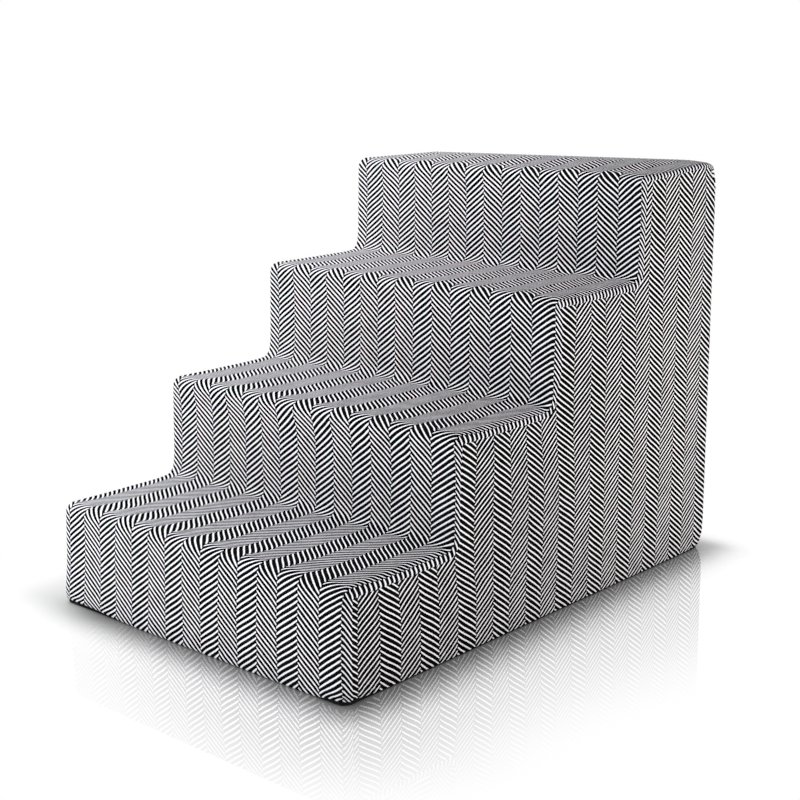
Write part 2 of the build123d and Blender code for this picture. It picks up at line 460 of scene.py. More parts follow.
def rounded_line(corners):
    """Points and outward normals along straight runs joined by quarter arcs.
    corners holds two coordinates and a radius each, and the outside is on the left."""
    points, normals = [], []
    start = np.array(corners[0][:2])
    for index, (across, up, radius) in enumerate(corners[1:], 1):
        corner = np.array((across, up))
        way = (corner - start) / np.linalg.norm(corner - start)
        left = np.array((-way[1], way[0]))
        stop = corner - way * radius
        last = index == len(corners) - 1
        for share in spaced(np.linalg.norm(stop - start), grid)[: None if last else -1]:
            points.append(start + (stop - start) * share)
            normals.append(left)
        if last:
            break
        onward = np.array(corners[index + 1][:2]) - corner
        onward = onward / np.linalg.norm(onward)
        left_onward = np.array((-onward[1], onward[0]))
        side = np.sign(way[0] * onward[1] - way[1] * onward[0])
        centre = stop + side * left * radius
        for share in spaced(quarter_turn * radius, arc_grid)[:-1]:
            angle = share * quarter_turn
            normal = left * math.cos(angle) + left_onward * math.sin(angle)
            points.append(centre - side * normal * radius)
            normals.append(normal)
        start = corner + onward * radius
    return np.array(points), np.array(normals)


def step_edges(inset):
    """Place of the riser and height of the top of each step, moved in by inset."""
    return [(front + step * tread + inset, (step + 1) * rise - inset) for step in range(step_count)]


def stair_corners(inset, floor):
    """Corners of the side outline moved in by inset, with the radius of each."""
    nose = max(nose_radius - inset, least_radius)
    hollow = hollow_radius + inset
    corners = [(front + inset, floor, 0)]
    for riser, top in step_edges(inset):
        corners += [(riser, top, nose), (riser + tread, top, hollow)]
    top_nose = max(top_nose_radius - inset, least_radius)
    corners[-1] = (back - inset, height - inset, top_nose)
    return corners + [(back - inset, floor, 0)]


def inner_distance(points, inset, floor):
    """How far points of a side lie inside the stair outline that is moved in by inset."""
    y, z = points.T
    steps = [np.minimum(y - riser, top - z) for riser, top in step_edges(inset)]
    return np.minimum.reduce([np.maximum.reduce(steps), z - floor, back - inset - y])


def make_piece(name, vertices, faces, material, uv=None, thickness=0):
    """A named mesh piece that rides on the stairs, with a cloth map in metres if it has one."""
    mesh = bpy.data.meshes.new(name)
    mesh.from_pydata([tuple(v) for v in vertices], [], [tuple(f) for f in faces])
    mesh.polygons.foreach_set("use_smooth", [True] * len(mesh.polygons))
    if uv is not None:
        layer = mesh.uv_layers.new(name="cloth")
        corner_vertices = np.empty(len(mesh.loops), np.int32)
        mesh.loops.foreach_get("vertex_index", corner_vertices)
        layer.data.foreach_set("uv", np.asarray(uv, np.float32)[corner_vertices].ravel())
    mesh.materials.append(material)
    piece = new_object(name, mesh)
    if thickness:
        solid = piece.modifiers.new("thickness", "SOLIDIFY")
        solid.thickness = thickness
        solid.offset = -1
    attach(piece, "stairs")
    return piece


def grid_faces(rows, columns):
    """Faces of a grid of rows times columns points, numbered row by row."""
    first = (np.arange(rows - 1)[:, None] * columns + np.arange(columns - 1)).ravel()
    return np.column_stack([first, first + 1, first + columns + 1, first + columns])


def ring_faces(rings, count):
    """Faces of closed rings of count points each, numbered ring by ring."""
    start = np.arange(rings - 1)[:, None] * count
    first = (start + np.arange(count)).ravel()
    after = (start + (np.arange(count) + 1) % count).ravel()
    return np.column_stack([first, after, after + count, first + count])


# Cover


def strip_columns(cut=None):
    """Places across the centre strip: cloth width from the middle, x, and depth below the outline.
    With a cut, only what lies beyond it on the right, and its edge there folds under."""
    flat = half_width - edge_radius
    columns = [(u, u, 0) for u in (spaced(2 * flat, grid) * 2 - 1) * flat]
    edge = []
    for share in spaced(quarter_turn * edge_radius, arc_grid / 2)[1:]:
        angle = share * quarter_turn
        x = flat + edge_radius * math.sin(angle)
        edge.append((flat + edge_radius * angle, x, edge_radius * (1 - math.cos(angle))))
    round_end = flat + quarter_turn * edge_radius
    for distance, depth in reversed([row for row in seam_rows if row[0] < seam_setback]):
        u = round_end + seam_setback - distance
        edge.append((u, half_width - depth, seam_inset - distance))
    if cut:
        hem = [(cut + distance, cut + distance, depth) for distance, depth in zip_rows]
        return np.array(hem + [row for row in columns if row[0] > hem[-1][0]] + edge).T
    mirrored = [(-u, -x, depth) for u, x, depth in reversed(edge)]
    return np.array(mirrored + columns + edge).T


def strip_piece(node, corners, start, material, first=seam_rows, last=seam_rows, side=0):
    """A panel of the strip that runs round the stairs between the side seams, where the cloth of
    the stairs is shifted along its seam because the seam cuts the corners.
    start is the length of cloth before it, and first and last are how its two ends fold under.
    With a side, it is only the short patch beyond the zip's end on that side."""
    points, normals = rounded_line(corners)
    length = np.concatenate([[0], np.cumsum(np.linalg.norm(np.diff(points, axis=0), axis=1))])
    first, last = np.array(first), np.array(last)
    places = np.concatenate([length, first[1:, 0], length[-1] - last[1:, 0]])
    places = np.unique(np.round(places, 6))
    points = np.column_stack([np.interp(places, length, points[:, i]) for i in (0, 1)])
    bent = np.abs(normals).max(axis=1) < 1
    bends = np.concatenate([[0, length[-1]], length[bent]])
    normals = np.column_stack([np.interp(places, length, normals[:, i]) for i in (0, 1)])
    from_bend = np.abs(places[:, None] - bends).min(axis=1)
    dive = np.interp(places, *first.T) + np.interp(places[-1] - places, *last.T)
    u, x, depth = strip_columns(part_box("zipper_end_tab_right")[0].x if side else None)
    if side < 0:
        u, x, depth = -u[::-1], -x[::-1], depth[::-1]
    crown = stair_crown(points) * np.abs(normals[:, 1]) + crown_riser * np.abs(normals[:, 0])
    from_edge = half_width - edge_radius - np.abs(x)
    lift = (crown * fade(from_bend, crown_fade))[:, None] * fade(from_edge, crown_fade)
    cloth_map = np.stack(np.meshgrid(u, places + start), axis=-1).reshape(-1, 2)
    flutter = waves(cloth_map, slack_length, strip_seed).reshape(lift.shape)
    lift = lift + slack * flutter * fade(from_bend, slack_fade)[:, None] * fade(from_edge, slack_fade)
    inward = depth + dive[:, None] - lift
    place = points[:, None, :] - normals[:, None, :] * inward[:, :, None]
    vertices = np.concatenate([np.broadcast_to(x, inward.shape)[:, :, None], place], axis=2)
    vertices = vertices.reshape(-1, 3)
    across = cloth_map[:, 0] - np.sign(cloth_map[:, 0]) * slid(vertices) + wrapped(vertices)
    along = cloth_map[:, 1]
    if node == "stair_panel":
        turned = np.clip(np.arctan2(normals[:, 1], -normals[:, 0]), 0, quarter_turn)
        eased = np.maximum(depth - ease_start, 0) * seam_inset / (seam_inset - ease_start)
        along = along + ((eighth_turn - turned)[:, None] * eased).ravel()
    uv = np.column_stack([band_places(node, across, points, len(u)), along])
    faces = grid_faces(len(places), len(u))[:, ::-1]
    piece = make_piece(node + "_cloth", foot(vertices), faces, material, uv, cloth)
    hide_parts(node)
    return places[-1]


def band_places(node, u, points, count):
    """Where points of the strip lie across its herringbone bands. The bands of the lowest riser
    and near the noses lie further left than those between the noses."""
    bow = front_bow * (1 - (u / half_width) ** 2)
    if node != "stair_panel":
        return (u - front_first_band + back_shift + bow) / front_band * band
    low = (u - front_first_band + bow) / front_band
    y, z = points.T
    steps = np.arange(step_count)[:, None]
    away = np.hypot(y - front - steps * tread, z - (steps + 1) * rise)
    pulled = 1 - np.array(nose_pull)[:, None] * bell(away, pull_reach)
    share = pulled.prod(axis=0) * ((z > rise - nose_radius) & (y > front + step_start))
    high = (u - step_first_band) / step_band
    return (low + (high - low) * np.repeat(share, count)) * band


def filled(rings, inner):
    """Points and triangles that fill the first ring, through the other rings and inner points.
    Returns the points, the triangles and the number of each point in the given order."""
    points = np.concatenate([*rings, inner])
    edges, first = [], 0
    for ring in rings:
        count = len(ring)
        edges += [(first + i, first + (i + 1) % count) for i in range(count)]
        first += count
    outline = list(range(len(rings[0])))
    result = delaunay_2d_cdt([Vector(p) for p in points], edges, [outline], 1, tiny)
    places = np.array([tuple(p) for p in result[0]])
    given = np.array([min(numbers) for numbers in result[3]])
    return places, result[2], given


def hexagonal(low, high, step):
    """Points of a triangular grid between two corners."""
    rows = np.arange(low[1], high[1], step * math.sqrt(3) / 2)
    columns = np.arange(low[0], high[0], step)
    shift = (np.arange(len(rows)) % 2 * step / 2)[:, None]
    across = np.broadcast_to(columns, (len(rows), len(columns))) + shift
    up = np.broadcast_to(rows[:, None], across.shape)
    return np.column_stack([across.ravel(), up.ravel()])


def side_ring(distance):
    """Closed outline of a side panel at a distance inside its seam."""
    inset, floor = seam_inset + distance, base_seam + distance
    points, _ = rounded_line(stair_corners(inset, floor))
    bottom = spaced(back - front - 2 * inset, grid)[1:-1, None]
    return np.concatenate([points, points[-1] + (points[0] - points[-1]) * bottom])


def side_panel(node, side, material):
    """One stair-shaped side of the cover."""
    rings = [side_ring(distance) for distance, _ in seam_rows]
    depths = np.concatenate([[depth] * len(ring) for ring, (_, depth) in zip(rings, seam_rows)])
    last = seam_rows[-1][0]
    inner = hexagonal((front, base_seam), (back, height), grid)
    inner = inner[inner_distance(inner, seam_inset + last, base_seam + last) > grid / 2]
    places, faces, given = filled(rings, inner)
    depths = np.concatenate([depths, np.zeros(len(inner))])[given]
    distance = inner_distance(places, seam_inset, base_seam)
    lift = crown_side * fade(distance, crown_fade)
    lift = lift + slack * waves(places, slack_length, side_seed + side) * fade(distance, slack_fade)
    x = side * (half_width - depths + lift)
    vertices = np.column_stack([x, places])
    along = places[:, 0] + slid(vertices) + wrapped(vertices)
    vertices = foot(vertices)
    shift = np.interp(along, *np.array(side_shift).T)
    band_place = (along - shift - side_first_band) * band / side_band
    uv = np.column_stack([band_place, places[:, 1]])
    faces = [face if side > 0 else face[::-1] for face in faces]
    piece = make_piece(node + "_cloth", vertices, faces, material, uv, cloth)
    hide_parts(node)


def stair_crown(points):
    """Swell of a tread by its height; the top step swells most."""
    return np.where(points[:, 1] > height - rise / 2, crown_top, crown_tread)


def cover(material, side_material):
    """All panels of the cover above the base."""
    stair = stair_corners(0, base_seam)[:-1] + [(back, top_seam, 0)]
    length = strip_piece("stair_panel", stair, base_seam, material)
    start = base_seam + length + top_seam
    panels = (
        ("back_panel", top_seam, zip_high, seam_rows, zip_rows, 0),
        ("back_strip", zip_low, base_seam, zip_rows, seam_rows, 0),
        ("zipper_end_tab_left", zip_high, zip_low, zip_rows, zip_rows, -1),
        ("zipper_end_tab_right", zip_high, zip_low, zip_rows, zip_rows, 1),
    )
    for node, high, low, first, last, side in panels:
        run = [(back, high, 0), (back, low, 0)]
        strip_piece(node, run, start - high, material, first, last, side)
    for side, node in ((1, "right_side_panel"), (-1, "left_side_panel")):
        side_panel(node, side, side_material)


# Base


def base_ring(z, inward, lift):
    """Closed outline of the base cloth, inward from its seam and lifted by a share of the seam."""
    side, end = half_width - edge_radius, back - edge_radius
    across, along = [(spaced(2 * reach, grid)[:, None] * 2 - 1) * reach for reach in (side, end)]
    turn = spaced(quarter_turn * edge_radius, arc_grid)[1:-1] * quarter_turn
    corner = np.column_stack([np.sin(turn), -np.cos(turn)]) * edge_radius
    half = np.concatenate([
        across * (1, 0) - (0, back),
        corner + (side, -end),
        along * (0, 1) + (half_width, 0),
        corner[::-1] * (1, -1) + (side, end),
    ])
    ring = np.concatenate([half, -half])
    seam = foot(np.column_stack([ring, np.full(len(ring), base_seam)]))
    shrink = (1 - inward / half_width, 1 - inward / back)
    return np.column_stack([seam[:, :2] * shrink, z + lift * (seam[:, 2] - base_seam)])


def under(step, margin):
    """Points of a triangular grid under the stairs that keep a margin to their edges."""
    points = hexagonal((-half_width, -back), (half_width, back), step)
    return points[(np.abs(points) < (half_width - margin, back - margin)).all(axis=1)]


def base(material):
    """The base cloth, sewn to the foot of the cover."""
    rings = [base_ring(base_seam + z, inward, lift) for z, inward, lift in base_rows]
    inner = under(coarse_grid, base_rows[-1][1] + tuck_depth + left_spread + 2 * grid)
    _, floor_faces, given = filled([rings[-1][:, :2]], inner)
    vertices = np.concatenate([*rings, np.column_stack([inner, np.full(len(inner), dot_height)])])
    count = len(rings[0])
    faces = list(ring_faces(len(rings), count)[:, [0, 3, 2, 1]])
    faces += [given[list(face)][::-1] + (len(rings) - 1) * count for face in floor_faces]
    uv = vertices[:, :2]
    piece = make_piece("base_cloth_sheet", vertices, faces, material, uv, cloth)
    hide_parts("base_panel")


def grip_dots(material):
    """The non-slip dots under the base cloth."""
    centres = under(dot_pitch, base_rows[-1][1] + tuck_depth + left_spread + dot_radius)
    turn = np.arange(dot_sides) / dot_sides * 2 * math.pi
    circle = np.column_stack([np.cos(turn), np.sin(turn)])
    rings = [np.column_stack([circle * share * dot_radius, np.full(dot_sides, level * dot_height)])
             for share, level in dot_rows]
    dot = np.concatenate([*rings, [(0, 0, 0)]])
    tip = len(dot) - 1
    last = tip - dot_sides
    dot_faces = [*ring_faces(len(dot_rows), dot_sides)]
    dot_faces += [(last + i, last + (i + 1) % dot_sides, tip) for i in range(dot_sides)]
    vertices = (np.column_stack([centres, np.zeros(len(centres))])[:, None, :] + dot).reshape(-1, 3)
    faces = [tuple(np.array(face)[::-1] + number * len(dot))
             for number in range(len(centres)) for face in dot_faces]
    make_piece("base_grip_dots", vertices, faces, material)


# Foam


def box_lines(low, high, radius, extra):
    """Places along an axis of a block: fine at its round edges, with some extra ones."""
    turn = 1 - np.cos(spaced(quarter_turn * radius, foam_grid) * quarter_turn)
    middle = low + radius + spaced(high - low - 2 * radius, coarse_grid) * (high - low - 2 * radius)
    places = np.concatenate([low + turn * radius, high - turn * radius, middle, list(extra)])
    return np.unique(np.round(places, 6))


def block(low, high, radius, extra):
    """Vertices and faces of a block with round edges, with extra places along its axes."""
    low, high = np.array(low), np.array(high)
    lines = [box_lines(low[i], high[i], radius, extra[i]) for i in range(3)]
    vertices, faces, count = [], [], 0
    for axis in range(3):
        first, second = (axis + 1) % 3, (axis + 2) % 3
        a, b = np.meshgrid(lines[first], lines[second], indexing="ij")
        for level, forward in ((low[axis], False), (high[axis], True)):
            face_points = np.empty((a.size, 3))
            face_points[:, axis] = level
            face_points[:, first] = a.ravel()
            face_points[:, second] = b.ravel()
            quads = grid_faces(len(lines[first]), len(lines[second])) + count
            faces.append(quads[:, ::-1] if forward else quads)
            vertices.append(face_points)
            count += a.size
    vertices, faces = np.concatenate(vertices), np.concatenate(faces)
    _, first_index, merged = np.unique(
        np.round(vertices, 7), axis=0, return_index=True, return_inverse=True)
    vertices = vertices[first_index]
    core = np.clip(vertices, low + radius, high - radius)
    away = vertices - core
    reach = np.linalg.norm(away, axis=1, keepdims=True)
    rounded = core + away / np.maximum(reach, tiny) * radius
    return np.where(reach > tiny, rounded, vertices), merged.ravel()[faces]


def foam(material):
    """The foam slabs inside the cover. The lowest has the groove that the zip's slider runs in."""
    slider_low, slider_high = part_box("slider_body")
    groove = (slider_high.z - slider_low.z) / 2 + foam_gap
    groove_floor = slider_low.y - foam_gap
    reach = zip_reach + foam_gap
    columns = [side * (reach + past) for side in (-1, 1) for past in (0, groove_ends[1])]
    rows = [zip_height + side * (groove + past) for side in (-1, 1) for past in (0, groove_sides[1])]
    for step, name in enumerate(slabs):
        lowest, highest = step == 0, step == step_count - 1
        bottom = foam_inset if lowest else step * rise + foam_join
        top = height - foam_inset if highest else (step + 1) * rise - foam_join
        low = (-half_width + foam_inset, front + step * tread + foam_inset, bottom)
        high = (half_width - foam_inset, back - foam_inset, top)
        vertices, faces = block(low, high, foam_round, (columns, (), rows) if lowest else ((), (), ()))
        if lowest:
            x, y, z = vertices.T
            inside = np.abs(x) < reach + groove_ends[0]
            inside &= np.abs(z - zip_height) < groove + groove_sides[0]
            inside &= y > back - foam_inset - groove_skin
            y = np.where(inside, groove_floor, y)
            tucked = tuck(z - foam_inset)
            vertices = np.column_stack([x * (1 - tucked / half_width), y * (1 - tucked / back), z])
        piece = make_piece(name + "_foam", settle(vertices), faces, material)
        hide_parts(name)


# Zip


def tube(path, radius):
    """Vertices and faces of a round closed tube along a path of points."""
    path = np.asarray(path)
    way = np.gradient(path, axis=0)
    way /= np.linalg.norm(way, axis=1, keepdims=True)
    # Any direction that no path runs along
    aside = np.cross(way, (0.31, 0.17, 0.93))
    aside /= np.linalg.norm(aside, axis=1, keepdims=True)
    other = np.cross(way, aside)
    turn = np.arange(tube_sides) / tube_sides * 2 * math.pi
    ring = aside[:, None, :] * np.cos(turn)[:, None] + other[:, None, :] * np.sin(turn)[:, None]
    radii = np.broadcast_to(radius, len(path))[:, None, None]
    vertices = (path[:, None, :] + ring * radii).reshape(-1, 3)
    faces = [tuple(face) for face in ring_faces(len(path), tube_sides)]
    faces.append(tuple(range(tube_sides))[::-1])
    faces.append(tuple(range(len(vertices) - tube_sides, len(vertices))))
    return vertices, faces


def joined(parts):
    """Several lots of vertices and faces as one."""
    vertices, faces, count = [], [], 0
    for part_vertices, part_faces in parts:
        vertices.append(part_vertices)
        faces += [tuple(int(i) + count for i in face) for face in part_faces]
        count += len(part_vertices)
    return np.concatenate(vertices), faces


def coil(node, side, material):
    """One row of the zip: a nylon wire wound into a flat coil along the tape's edge."""
    low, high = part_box(node)
    turns = int((high.x - low.x) / tooth_pitch) - 1
    angle = np.linspace(0, turns, turns * coil_sides + 1) * 2 * math.pi
    wide = (high.z - low.z) / 2 - coil_wire
    deep = (high.y - low.y) / 2 - coil_wire
    start = low.x + tooth_pitch * coil_starts[side] - tooth_pitch / 2
    flatter = np.sign(np.cos(angle)) * np.abs(np.cos(angle)) ** coil_flatness
    path = np.column_stack([
        start + angle / (2 * math.pi) * tooth_pitch,
        (low.y + high.y) / 2 + deep * np.sin(angle),
        (high.z + low.z) / 2 - side * wide * flatter,
    ])
    vertices, faces = tube(path, coil_wire)
    piece = make_piece(node + "_wire", vertices, faces, material)
    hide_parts(node)


def tape(node, material):
    """One woven tape of the zip, with a slight ripple."""
    low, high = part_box(node)
    xs = low.x + spaced(high.x - low.x, grid) * (high.x - low.x)
    zs = low.z + spaced(high.z - low.z, tape_grid) * (high.z - low.z)
    x, z = np.meshgrid(xs, zs)
    flat = np.column_stack([x.ravel(), z.ravel()])
    y = high.y - tape_ripple * (1 + waves(flat, ripple_length, tape_seed)) / 2
    vertices = np.column_stack([flat[:, 0], y, flat[:, 1]])
    faces = grid_faces(len(zs), len(xs))[:, ::-1]
    thickness = high.y - low.y - tape_ripple
    piece = make_piece(node + "_weave", vertices, faces, material, flat, thickness)
    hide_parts(node)


def stitch_row(start, end, pitch, length, radius, bury):
    """A row of thread stitches on the back, each a short arched length of thread."""
    start, end, outward = np.array(start), np.array(end), np.array((0, 1, 0))
    span = np.linalg.norm(end - start)
    way = (end - start) / span
    parts = []
    share = np.linspace(-1, 1, len(thread_taper))
    for number in range(int(span / pitch)):
        middle = start + way * pitch * (number + 0.5)
        arch = (1 - share**2) * (radius + bury) - bury
        path = middle + way * share[:, None] * length / 2 + outward * arch[:, None]
        parts.append(tube(path, radius * np.array(thread_taper)))
    return joined(parts)


def stitching(material):
    """Topstitching along both edges of the zip and across its ends, and along the coils."""
    parts = []
    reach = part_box("zipper_end_tab_right")[0].x
    edge = zip_rows[-1][0] + stitch_set
    for z in (zip_high + edge, zip_low - edge):
        parts.append(stitch_row((-reach, back, z), (reach, back, z), *seam_stitch))
    for side in (-1, 1):
        x = side * (reach + edge)
        low_end, high_end = (x, back, zip_low - edge), (x, back, zip_high + edge)
        parts.append(stitch_row(low_end, high_end, *seam_stitch))
    low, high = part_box("zipper_coil_upper")
    for side in (-1, 1):
        z = zip_height + side * (high.z - zip_height - coil_seam)
        parts.append(stitch_row((low.x, high.y, z), (high.x, high.y, z), *coil_stitch))
    vertices, faces = joined(parts)
    make_piece("zip_stitching", vertices, faces, material)


def metal_node(node, material, bevel):
    """A metal part of the zip keeps its CAD shape, with its edges rounded."""
    piece = bpy.data.objects[node]
    piece.data.materials.clear()
    piece.data.materials.append(material)
    weld = piece.modifiers.new("weld", "WELD")
    weld.merge_threshold = 0.01 * mm
    round_edges = piece.modifiers.new("round_edges", "BEVEL")
    round_edges.width = bevel
    round_edges.segments = 3
    round_edges.limit_method = "ANGLE"
    round_edges.angle_limit = math.radians(35)
    round_edges.use_clamp_overlap = True


# Materials


def operator(operation):
    """A method for one kind of plain arithmetic, which adds a Math node."""
    return lambda self, other: self.nodes.math(operation, self, other)


class Value:
    """A number, vector or colour that a shader works out, with plain arithmetic."""

    def __init__(self, nodes, socket):
        self.nodes, self.socket = nodes, socket

    __add__, __sub__, __mul__, __truediv__ = map(operator, ("ADD", "SUBTRACT", "MULTIPLY", "DIVIDE"))

    def __rsub__(self, other):
        return self.nodes.math("SUBTRACT", other, self)


class Nodes:
    """The nodes of a material or world, built from values and plain numbers."""

    def __init__(self, owner):
        owner.use_nodes = True
        self.owner, self.tree = owner, owner.node_tree
        self.tree.nodes.clear()

    def node(self, kind, inputs=None, **settings):
        """A node with its settings and inputs."""
        node = self.tree.nodes.new(kind)
        for name, value in settings.items():
            setattr(node, name, value)
        for name, value in (inputs or {}).items():
            if isinstance(value, Value):
                self.tree.links.new(value.socket, node.inputs[name])
            else:
                node.inputs[name].default_value = value
        return node

    def value(self, kind, output, inputs=None, **settings):
        """One output of a new node."""
        return Value(self, self.node(kind, inputs, **settings).outputs[output])

    def math(self, operation, *values):
        """The result of one Math node."""
        return self.value("ShaderNodeMath", 0, dict(enumerate(values)), operation=operation)

    def parts(self, vector):
        """The X, Y and Z of a vector."""
        split = self.node("ShaderNodeSeparateXYZ", {"Vector": vector})
        return [Value(self, part) for part in split.outputs]

    def place(self):
        """The place on the piece."""
        return self.value("ShaderNodeTexCoord", "Object")

    def cloth_map(self):
        """The place on the flat cloth, in metres."""
        return self.value("ShaderNodeUVMap", "UV", uv_map="cloth")

    def noise(self, place, scale, detail=2.0, roughness=0.5):
        """Noise from 0 to 1 at a number of cells per metre."""
        inputs = {"Vector": place, "Scale": scale, "Detail": detail, "Roughness": roughness}
        return self.value("ShaderNodeTexNoise", "Fac", inputs)

    def between(self, value, low, high, start=0.0, end=1.0):
        """A value mapped smoothly from low..high to start..end."""
        inputs = {"Value": value, "From Min": low, "From Max": high, "To Min": start, "To Max": end}
        return self.value("ShaderNodeMapRange", "Result", inputs, interpolation_type="SMOOTHSTEP")

    def ribs(self, place, pitch):
        """Round ribs from 0 to 1 along a coordinate, one every pitch."""
        return self.math("ABSOLUTE", self.math("SINE", place / pitch * math.pi))

    def blend(self, share, first, second):
        """Two numbers mixed."""
        return self.value("ShaderNodeMix", 0, {0: share, 2: first, 3: second})

    def mix(self, share, first, second):
        """Two colours mixed."""
        return self.value("ShaderNodeMix", 2, {0: share, 6: first, 7: second}, data_type="RGBA")

    def bump(self, height_value, distance, strength=1.0, normal=None):
        """A normal from a height from 0 to 1, in metres over the distance."""
        inputs = {"Height": height_value, "Distance": distance, "Strength": strength}
        if normal:
            inputs["Normal"] = normal
        return self.value("ShaderNodeBump", "Normal", inputs)

    def finish(self, surface, kind="ShaderNodeOutputMaterial"):
        """The finished material or world, once the shader is on its output."""
        self.node(kind, {"Surface": surface})
        return self.owner

    def principled(self, colour, roughness, normal, specular=0.5, **others):
        """The finished material of one principled shader."""
        inputs = {"Base Color": colour, "Roughness": roughness, "Normal": normal}
        inputs |= {"Specular IOR Level": specular}
        inputs |= {name.replace("_", " ").title(): value for name, value in others.items()}
        return self.finish(self.value("ShaderNodeBsdfPrincipled", 0, inputs))


def herringbone_cloth(name, white_share, across, painted_light_tint):
    """Woven herringbone of black and white yarn, on a map in metres.
    white_share is how much of it is white where the map starts, and across its change in a metre. This
    change, and a further change on surfaces that face up, are painted light and shade; the tint is a
    painted colour cast of the light."""
    n = Nodes(bpy.data.materials.new(name))
    cloth_map = n.cloth_map()
    u, v, _ = n.parts(cloth_map)
    warp_number, weft_number = n.math("FLOOR", u / warp_pitch), n.math("FLOOR", v / weft_pitch)
    u_step, v_step = (warp_number + 0.5) * warp_pitch, (weft_number + 0.5) * weft_pitch
    drift = (n.noise(cloth_map, drift_scale) - 0.5) * band_drift
    place = (u_step + drift) / band
    index = n.math("FLOOR", place)
    in_band = place - index
    parity = n.math("FLOORED_MODULO", index, 2.0)
    swing = n.math("SINE", in_band * (2 * math.pi))
    climb = (in_band - 0.5 + swing * stripe_bend) * (1.0 - parity * 2.0) * stripe_rise
    sway = (n.noise(cloth_map, sway_scale) - 0.5) * stripe_sway
    phase = v_step / stripe_pitch + sway - climb + parity * 0.5
    wave = n.math("ABSOLUTE", n.math("FRACT", phase) - 0.5) * 2.0
    taper = n.between(n.math("PINGPONG", in_band, 0.5), 0.0, *band_taper, 0.0)
    uneven = (n.noise(cloth_map, uneven_scale) - 0.5) * unevenness
    upward = n.parts(n.value("ShaderNodeNewGeometry", "Normal"))[2]
    # Painted light and shade: surfaces that face up get more white at the left and less towards the
    # right
    painted_light_share = u * painted_light_across + painted_light_white
    share = u * across + white_share + n.between(upward, *painted_light_normals) * painted_light_share
    white = n.between(taper + uneven + share - wave, -stripe_edge, stripe_edge)
    yarn_place = n.value("ShaderNodeCombineXYZ", 0, {"X": warp_number, "Y": weft_number})
    cell = n.value("ShaderNodeTexWhiteNoise", "Value", {"Vector": yarn_place}, noise_dimensions="2D")
    fibre = n.noise(cloth_map, 2600.0, 3.0, 0.6)
    # The yarn colours carry the tint, a painted colour cast of the light on this copy of the cloth
    white_low, white_high, black_low, black_high = (
        (*(level * part for part in painted_light_tint), 1) for level in yarn_levels)
    tone = cell * 0.5 + fibre * 0.5
    black = n.mix(n.between(cell, *fleck), n.mix(tone, black_low, black_high), white_high)
    colour = n.mix(white, black, n.mix(tone, white_low, white_high))
    yarn = n.blend(white, n.ribs(u, warp_pitch), n.ribs(v, weft_pitch))
    relief = n.bump(white, 0.12 * mm, 0.5)
    relief = n.bump(yarn, 0.16 * mm, 0.5, relief)
    relief = n.bump(fibre, 0.06 * mm, 0.4, relief)
    return n.principled(colour, 0.92, relief, 0.01)


def plain_weave(name, dark, light, pitches, roughness, diagonal=0.0):
    """A plain or twilled cloth of one colour, on a map in metres."""
    n = Nodes(bpy.data.materials.new(name))
    cloth_map = n.cloth_map()
    u, v, _ = n.parts(cloth_map)
    u = u + v * diagonal
    column, row = n.math("FLOOR", u / pitches[0]), n.math("FLOOR", v / pitches[1])
    over = n.math("FLOORED_MODULO", column + row, 2.0)
    yarn = n.blend(over, n.ribs(u, pitches[0]), n.ribs(v, pitches[1]))
    fibre = n.noise(cloth_map, 1900.0, 3.0, 0.6)
    tone = (fibre + n.noise(cloth_map, 35.0, 3.0) + yarn) * 0.3333
    relief = n.bump(yarn, 0.14 * mm, 0.7)
    relief = n.bump(fibre, 0.05 * mm, 0.4, relief)
    colour = n.mix(tone, dark, light)
    return n.principled(colour, roughness, relief, 0.1, sheen_weight=0.02, sheen_roughness=0.5)


def grip_rubber():
    """Soft matt rubber of the non-slip dots."""
    n = Nodes(bpy.data.materials.new("grip_rubber"))
    grain = n.noise(n.place(), 900.0, 3.0)
    colour = n.mix(grain, (0.008, 0.008, 0.009, 1), (0.022, 0.022, 0.024, 1))
    return n.principled(colour, n.between(grain, 0.3, 0.7, 0.42, 0.6), n.bump(grain, 0.05 * mm, 0.4))


def foam_material():
    """Open-celled cream foam."""
    n = Nodes(bpy.data.materials.new("upholstery_foam"))
    place = n.place()
    pore = n.value("ShaderNodeTexVoronoi", "Distance", {"Vector": place, "Scale": 850.0}, feature="F1")
    light = n.mix(n.noise(place, 18.0, 3.0), (0.80, 0.74, 0.60, 1), (0.86, 0.81, 0.69, 1))
    colour = n.mix(n.between(pore, 0.1, 0.7), light, (0.62, 0.55, 0.41, 1))
    relief = n.bump(pore, 0.5 * mm, 0.6)
    return n.principled(colour, 0.95, relief, 0.15, subsurface_weight=0.05, subsurface_scale=3 * mm)


def nylon(name, dark, light, roughness):
    """Black nylon of the zip's wire and thread."""
    n = Nodes(bpy.data.materials.new(name))
    grain = n.noise(n.place(), 1500.0, 3.0)
    return n.principled(n.mix(grain, dark, light), roughness, n.bump(grain, 0.03 * mm, 0.3))


def plated_metal(name, dark, light, smoothest, roughest):
    """Plated die-cast metal, a little duller in patches."""
    n = Nodes(bpy.data.materials.new(name))
    place = n.place()
    patch = n.noise(place, 260.0, 4.0)
    rough = n.between(patch, 0.3, 0.75, smoothest, roughest)
    relief = n.bump(n.noise(place, 2600.0), 0.02 * mm, 0.25)
    return n.principled(n.mix(patch, dark, light), rough, relief, metallic=1.0)


# Floor, world and lamps


def light_ray(n):
    """1 for rays from the camera or through gloss and glass, which see a white surrounding."""
    path = n.node("ShaderNodeLightPath")
    rays = [Value(n, path.outputs[f"Is {kind} Ray"]) for kind in ("Camera", "Glossy", "Transmission")]
    return n.math("MAXIMUM", n.math("MAXIMUM", rays[0], rays[1]), rays[2])


